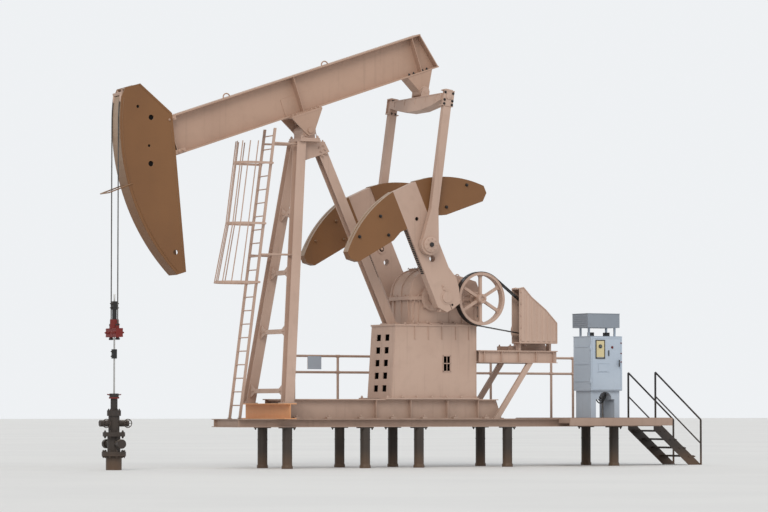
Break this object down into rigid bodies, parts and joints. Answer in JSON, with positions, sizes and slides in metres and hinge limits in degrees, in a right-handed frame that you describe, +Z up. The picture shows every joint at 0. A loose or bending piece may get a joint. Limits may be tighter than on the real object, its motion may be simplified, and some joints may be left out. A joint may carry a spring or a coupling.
{
  "type": "beam pumping unit (pumpjack)",
  "caption": "Crank-balanced walking-beam pumping unit on a piled steel frame, with wellhead, caged ladder, control cabinet and stair.",
  "frame": {"origin": "centre of the well at ground level, under the polished rod", "axes": "+X along the walking beam from the horsehead to the tail, +Z up"},
  "size_m": [15.2656, 3.102, 9.8007],
  "materials": {
    "beige_paint": "satin",
    "brown_paint": "satin",
    "black_steel": "matt",
    "bare_steel": "brushed",
    "pale_paint": "satin",
    "orange_paint": "satin",
    "red_paint": "satin",
    "belt_rubber": "matt"
  },
  "bodies": {
    "structure": {"piles": "black_steel", "pile_frame": "beige_paint", "deck": "beige_paint", "base_frame": "beige_paint", "front_cross_beam": "orange_paint", "pedestal": "beige_paint", "motor_platform": "beige_paint", "platform_braces": "beige_paint", "front_legs": "beige_paint", "back_leg": "beige_paint", "leg_braces": "beige_paint", "post_head": "beige_paint", "saddle_bearing": "beige_paint", "ladder": "beige_paint", "ladder_standoffs": "beige_paint", "ladder_cage": "beige_paint", "gearbox_housing": "beige_paint", "gearbox_cover": "beige_paint", "motor": "beige_paint", "drive_belt": "belt_rubber", "belt_guard": "beige_paint", "guard_rail": "beige_paint", "cabinet_body": "pale_paint", "cabinet_stand": "pale_paint", "stair": "black_steel", "stair_handrails": "black_steel", "wellhead": "black_steel", "stuffing_box": "black_steel"},
    "crank": {"crankshaft": "bare_steel", "cranks": "beige_paint", "counterweights": "brown_paint"},
    "beam": {"walking_beam": "beige_paint", "horsehead": "brown_paint", "saddle_bracket": "beige_paint", "tail_bearing": "beige_paint", "wireline_wrap": "bare_steel"},
    "pitman": {"equalizer": "beige_paint", "pitmans": "beige_paint"},
    "rod": {"carrier_bar": "red_paint", "rod_clamps": "black_steel", "wirelines": "bare_steel", "polished_rod": "bare_steel"},
    "sheave": {"belt_sheave": "beige_paint"},
    "pulley": {"motor_pulley": "bare_steel"},
    "door": {"cabinet_door": "pale_paint"}
  },
  "joints": [
    {"name": "crank_turn", "type": "hinge", "parent": "structure", "child": "crank", "pos_m": [7.6, 0, 3.8], "axis": [0, -1, 0], "range_deg": [-8, 150]},
    {"name": "beam_rock", "type": "hinge", "parent": "structure", "child": "beam", "pos_m": [4.6, 0, 7.48], "axis": [0, -1, 0], "range_deg": [-44.64, 2.43]},
    {"name": "pitman_swing", "type": "hinge", "parent": "beam", "child": "pitman", "pos_m": [7.57838, 0, 8.50554], "axis": [0, -1, 0], "range_deg": [-2.88, 53.2]},
    {"name": "rod_stroke", "type": "slide", "parent": "structure", "child": "rod", "axis": [0, 0, 1], "range_m": [-0.192, 3.5813], "deforming": ["wirelines", "polished_rod"]},
    {"name": "sheave_spin", "type": "hinge", "parent": "structure", "child": "sheave", "pos_m": [8.73, -0.68, 3.8], "axis": [0, -1, 0], "continuous": true},
    {"name": "pulley_spin", "type": "hinge", "parent": "structure", "child": "pulley", "pos_m": [10.395, -0.68, 3.11], "axis": [0, -1, 0], "continuous": true},
    {"name": "door_swing", "type": "hinge", "parent": "structure", "child": "door", "pos_m": [11.874, -0.376, 2.36], "axis": [0, 0, -1], "range_deg": [0, 110]}
  ],
  "couplings": [
    {"joint": "beam_rock", "follows": "crank_turn", "ratio": -0.2973},
    {"joint": "pitman_swing", "follows": "crank_turn", "ratio": 0.3543},
    {"joint": "rod_stroke", "follows": "crank_turn", "m_per_rad": 1.3676},
    {"joint": "sheave_spin", "follows": "crank_turn", "ratio": 28.67},
    {"joint": "pulley_spin", "follows": "crank_turn", "ratio": 107.51}
  ]
}
